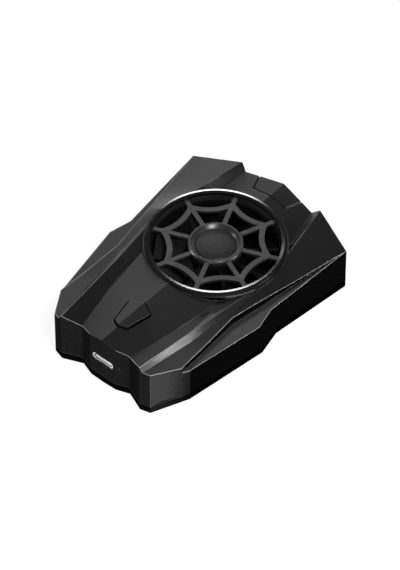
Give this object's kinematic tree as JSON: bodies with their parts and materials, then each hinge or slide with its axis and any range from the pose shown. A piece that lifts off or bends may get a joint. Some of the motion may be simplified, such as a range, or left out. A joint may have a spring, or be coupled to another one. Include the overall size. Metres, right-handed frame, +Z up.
{
  "type": "cooling fan",
  "caption": "Clip-on phone cooler with a faceted black housing, a round web grille over an axial fan, a six-sided power button and a power socket in the narrow end.",
  "frame": {"origin": "centre of the footprint on the underside", "axes": "+Z up through the fan, -Y towards the power socket, X across the width"},
  "size_m": [0.0608, 0.0844, 0.0198],
  "materials": {
    "housing": "satin black moulded plastic, fine texture",
    "base": "matt black moulded plastic",
    "screw": "black zinc steel",
    "bezel": "glossy black ring",
    "grille": "satin black plastic",
    "cap": "satin black plastic",
    "button": "satin black plastic",
    "dark_plastic": "black plastic",
    "board": "green solder mask",
    "socket": "bright tin-plated steel",
    "light_pipe": "clear moulded light pipe",
    "fan_plastic": "black glass-filled plastic",
    "steel": "steel",
    "magnet": "bonded ferrite",
    "bronze": "oil-filled sintered bronze",
    "copper": "enamelled copper winding",
    "aluminium": "machined aluminium",
    "ceramic": "white ceramic plates",
    "foam": "closed-cell foam",
    "pad": "soft grey thermal pad"
  },
  "bodies": {
    "housing": {"top_cover": "housing", "bottom_cover": "base", "housing_screws": "screw", "bezel_ring": "bezel", "web_grille": "grille", "hub_cap": "cap", "switch_body": "dark_plastic", "main_board": "board", "socket_shell": "socket", "socket_tongue": "dark_plastic", "light_pipe": "light_pipe", "indicator_lamp": "light_pipe", "board_screws": "screw", "fan_frame": "fan_plastic", "sleeve_bearing": "bronze", "fan_board": "board", "stator_core": "steel", "stator_coils": "copper", "fan_screws": "screw", "heat_sink": "aluminium", "cooling_element": "ceramic", "foam_gasket": "foam", "cold_plate": "aluminium", "contact_pad": "pad"},
    "fan_rotor": {"impeller": "fan_plastic", "rotor_yoke": "steel", "rotor_magnet": "magnet", "rotor_shaft": "steel"},
    "button": {"power_button": "button", "switch_plunger": "dark_plastic"}
  },
  "joints": [
    {"name": "fan_spin", "type": "hinge", "parent": "housing", "child": "fan_rotor", "pos_m": [0, 0.0103, 0.0119], "axis": [0, 0, 1], "continuous": true},
    {"name": "button_press", "type": "slide", "parent": "housing", "child": "button", "axis": [0, 0, -1], "range_m": [0, 0.0005], "stiffness_N_per_m": 800}
  ]
}
